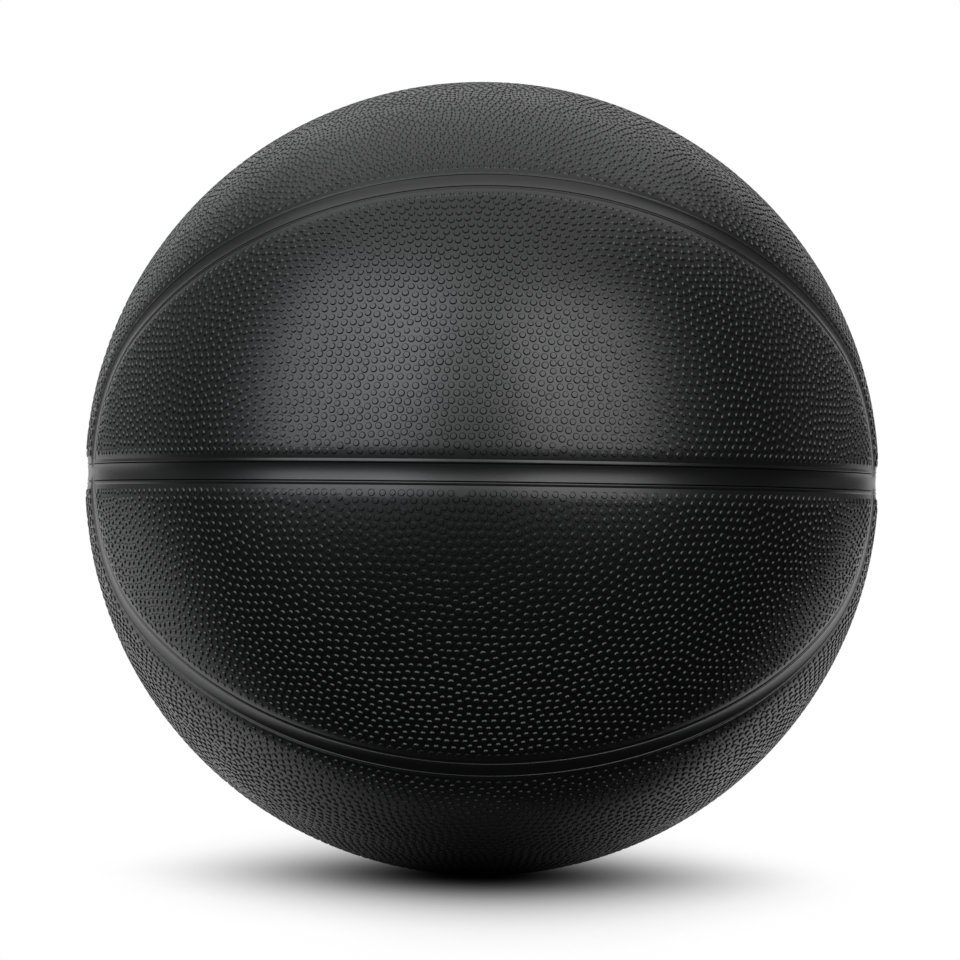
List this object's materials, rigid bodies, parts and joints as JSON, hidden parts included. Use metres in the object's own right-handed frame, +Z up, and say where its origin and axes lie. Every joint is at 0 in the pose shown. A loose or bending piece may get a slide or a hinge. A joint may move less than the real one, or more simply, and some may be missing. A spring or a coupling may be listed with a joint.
{
  "type": "basketball",
  "caption": "Size 7 rubber basketball with pebbled cover panels between dished channels, a layered carcass, an air bladder and an inflation valve.",
  "frame": {"origin": "centre of the ball", "axes": "+Z up through the middle of the channel that runs over the poles; +Y through the middle of the rear oval, 10 degrees below the valve; +X through the crossing of the equator and the polar channel"},
  "size_m": [0.2418, 0.2418, 0.2418],
  "materials": {
    "panel_rubber": "satin",
    "channel_rubber": "satin",
    "carcass_rubber": "matte",
    "winding_thread": "matte",
    "bladder_rubber": "matte",
    "valve_rubber": "satin"
  },
  "bodies": {
    "root": {"bladder": "bladder_rubber", "winding": "winding_thread", "carcass": "carcass_rubber", "panel_front_upper": "panel_rubber", "panel_front_lower": "panel_rubber", "panel_rear_upper": "panel_rubber", "panel_rear_lower": "panel_rubber", "panel_top_front": "panel_rubber", "panel_top_rear": "panel_rubber", "panel_bottom_front": "panel_rubber", "panel_bottom_rear": "panel_rubber", "channel_equator": "channel_rubber", "channel_top": "channel_rubber", "channel_bottom": "channel_rubber", "channel_front_upper": "channel_rubber", "channel_front_lower": "channel_rubber", "channel_rear_upper": "channel_rubber", "channel_rear_lower": "channel_rubber", "valve_housing": "valve_rubber", "valve_core": "valve_rubber", "valve_patch": "carcass_rubber"}
  },
  "joints": []
}
